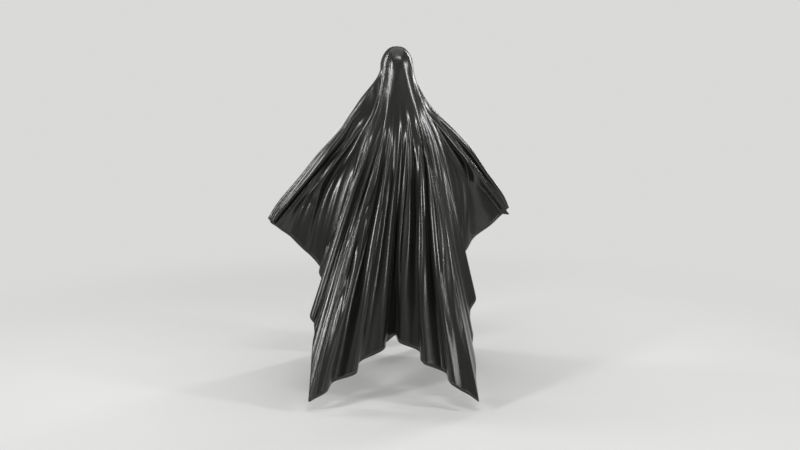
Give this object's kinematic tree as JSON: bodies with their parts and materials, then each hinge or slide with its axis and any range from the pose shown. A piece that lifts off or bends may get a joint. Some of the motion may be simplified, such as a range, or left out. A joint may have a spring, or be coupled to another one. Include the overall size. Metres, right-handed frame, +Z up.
{
  "type": "hanging ghost figure decoration",
  "caption": "Life-size hanging ghost figure: a dark satin sheet draped over a foam head and two outstretched padded arms, hung from an eye in its crown.",
  "frame": {"origin": "centre of the hanging eye in the crown, from which the figure hangs; all of it but the crown is below", "axes": "+Z up along the hanging rod, the figure's face towards -Y, its own left arm towards +X"},
  "size_m": [1.3483, 1.2598, 1.7761],
  "materials": {
    "zinc_steel": "bright zinc plate",
    "blackened_brass": "blackened, satin",
    "head_foam": "rigid foam, off-white",
    "neck_plastic": "extruded black tube",
    "hub_wood": "planed and oiled beech",
    "aluminium_rod": "drawn, soft temper",
    "grey_foam": "grey closed-cell foam",
    "dark_satin": "glossy charcoal satin, finely woven"
  },
  "bodies": {
    "root": {"hanging_rod": "zinc_steel", "crown_eyelet": "blackened_brass", "crown_washer": "blackened_brass", "head_form": "head_foam", "neck_tube": "neck_plastic", "shoulder_hub": "hub_wood", "rod_washer": "zinc_steel", "rod_nut": "zinc_steel", "arm_screw_left": "zinc_steel", "arm_screw_right": "zinc_steel", "arm_rod_left": "aluminium_rod", "arm_rod_right": "aluminium_rod", "shoulder_pad_left": "grey_foam", "shoulder_pad_right": "grey_foam", "upper_arm_sleeve_left": "grey_foam", "upper_arm_sleeve_right": "grey_foam", "forearm_sleeve_left": "grey_foam", "forearm_sleeve_right": "grey_foam", "hand_form_left": "grey_foam", "hand_form_right": "grey_foam", "drape_sheet": "dark_satin"}
  },
  "joints": []
}
